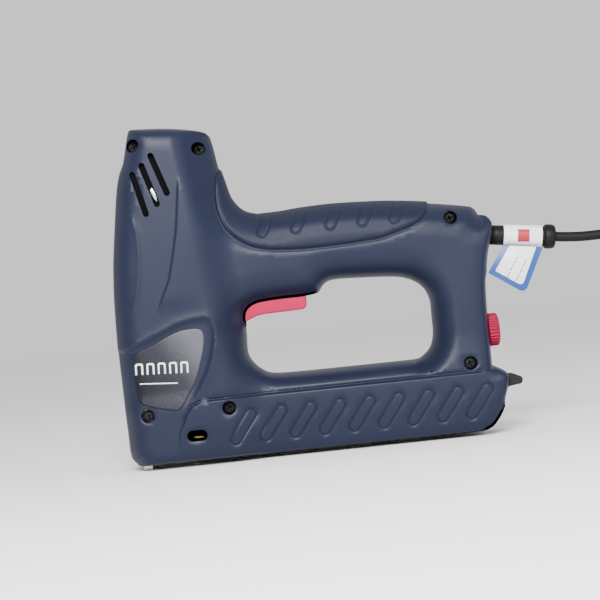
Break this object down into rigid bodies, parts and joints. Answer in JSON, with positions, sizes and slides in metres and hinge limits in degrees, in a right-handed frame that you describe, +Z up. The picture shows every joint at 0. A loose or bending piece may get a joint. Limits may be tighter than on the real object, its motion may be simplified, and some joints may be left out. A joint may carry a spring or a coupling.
{
  "type": "staple gun",
  "caption": "Corded electric staple gun with two-part housing, squeeze trigger, speed knob, solenoid striker, rear-loading staple drawer and mains cord.",
  "frame": {"origin": "bottom centre of the tool without its cord, level with the nose tip", "axes": "+X from the nose to the cord, +Z up from the magazine to the handle, and the side that the picture shows faces -Y"},
  "size_m": [0.4133, 0.084, 0.2023],
  "materials": {
    "housing_plastic": "fine satin",
    "grip_plastic": "soft matte",
    "name_plate_metal": "brushed and lacquered",
    "control_plastic": "satin",
    "black_plastic": "matte",
    "black_rubber": "matte",
    "steel": "bright",
    "dark_steel": "blackened screws",
    "copper": "enamelled wire",
    "staple_steel": "galvanised",
    "zinc": "die cast",
    "board": "solder mask",
    "bobbin_plastic": "natural nylon",
    "tag_paper": "coated card",
    "pin_brass": "nickel plated"
  },
  "bodies": {
    "housing": {"left_shell": "housing_plastic", "right_shell": "housing_plastic", "left_grip_pad": "grip_plastic", "right_grip_pad": "grip_plastic", "left_name_plate": "name_plate_metal", "right_name_plate": "name_plate_metal", "potentiometer": "black_plastic", "microswitch": "black_plastic", "terminal_block": "black_plastic", "capacitor": "black_plastic", "cord_clamp": "black_plastic", "cord_sleeve": "black_rubber", "cord_end": "black_rubber", "mains_cord": "black_rubber", "cord_coil": "black_rubber", "plug_tail": "black_rubber", "plug_body": "black_rubber", "top_bumper": "black_rubber", "bottom_bumper": "black_rubber", "coil_leads": "black_rubber", "switch_leads": "black_rubber", "supply_leads": "black_rubber", "solenoid_frame": "steel", "nose_plate": "steel", "blade_guide": "steel", "guide_strips": "steel", "magazine_channel": "steel", "return_spring": "steel", "trigger_spring": "steel", "trigger_pin": "steel", "triac": "steel", "switch_terminals": "steel", "shell_screws": "dark_steel", "clamp_screws": "dark_steel", "coil_winding": "copper", "staple_strip": "staple_steel", "nose_block": "zinc", "circuit_board": "board", "coil_bobbin": "bobbin_plastic", "tag_band": "tag_paper", "tag_card": "tag_paper", "plug_pins": "pin_brass"},
    "striker": {"plunger": "steel", "push_rod": "steel", "blade_carrier": "steel", "driver_blade": "steel", "blade_pin": "steel"},
    "trigger": {"trigger": "control_plastic"},
    "switch_plunger": {"switch_plunger": "black_plastic"},
    "speed_knob": {"power_knob": "control_plastic", "knob_shaft": "steel"},
    "drawer": {"magazine_rail": "steel", "magazine_tray": "black_plastic", "drawer_end_cap": "black_plastic", "spring_rod": "steel", "pusher_spring": "steel", "latch_pin": "steel", "latch_spring": "steel"},
    "pusher": {"pusher": "black_plastic"},
    "latch": {"magazine_latch": "black_plastic"}
  },
  "joints": [
    {"name": "striker_slide", "type": "slide", "parent": "housing", "child": "striker", "axis": [0, 0, -1], "range_m": [0, 0.0195], "stiffness_N_per_m": 300, "springref_m": -0.01, "deforming": ["return_spring"]},
    {"name": "trigger_pivot", "type": "hinge", "parent": "housing", "child": "trigger", "pos_m": [-0.04675, 0, 0.0977], "axis": [0, -1, 0], "range_deg": [0, 8], "stiffness_Nm_per_rad": 0.6, "springref_deg": -5.73, "deforming": ["trigger_spring"]},
    {"name": "switch_press", "type": "slide", "parent": "housing", "child": "switch_plunger", "axis": [0, 0, 1], "range_m": [0, 0.0026]},
    {"name": "knob_turn", "type": "hinge", "parent": "housing", "child": "speed_knob", "pos_m": [0.10185, 0, 0.0612], "axis": [1, 0, 0], "range_deg": [-135, 135]},
    {"name": "drawer_slide", "type": "slide", "parent": "housing", "child": "drawer", "axis": [1, 0, 0], "range_m": [0, 0.08]},
    {"name": "pusher_slide", "type": "slide", "parent": "drawer", "child": "pusher", "axis": [1, 0, 0], "range_m": [0, 0.1], "stiffness_N_per_m": 30, "springref_m": -0.05, "deforming": ["pusher_spring"]},
    {"name": "latch_pivot", "type": "hinge", "parent": "drawer", "child": "latch", "pos_m": [0.10175, 0, 0.0297], "axis": [0, 1, 0], "range_deg": [0, 6], "stiffness_Nm_per_rad": 0.3, "springref_deg": -5.73, "deforming": ["latch_spring"]}
  ],
  "couplings": [
    {"joint": "switch_press", "follows": "trigger_pivot", "m_per_rad": 0.0182}
  ]
}
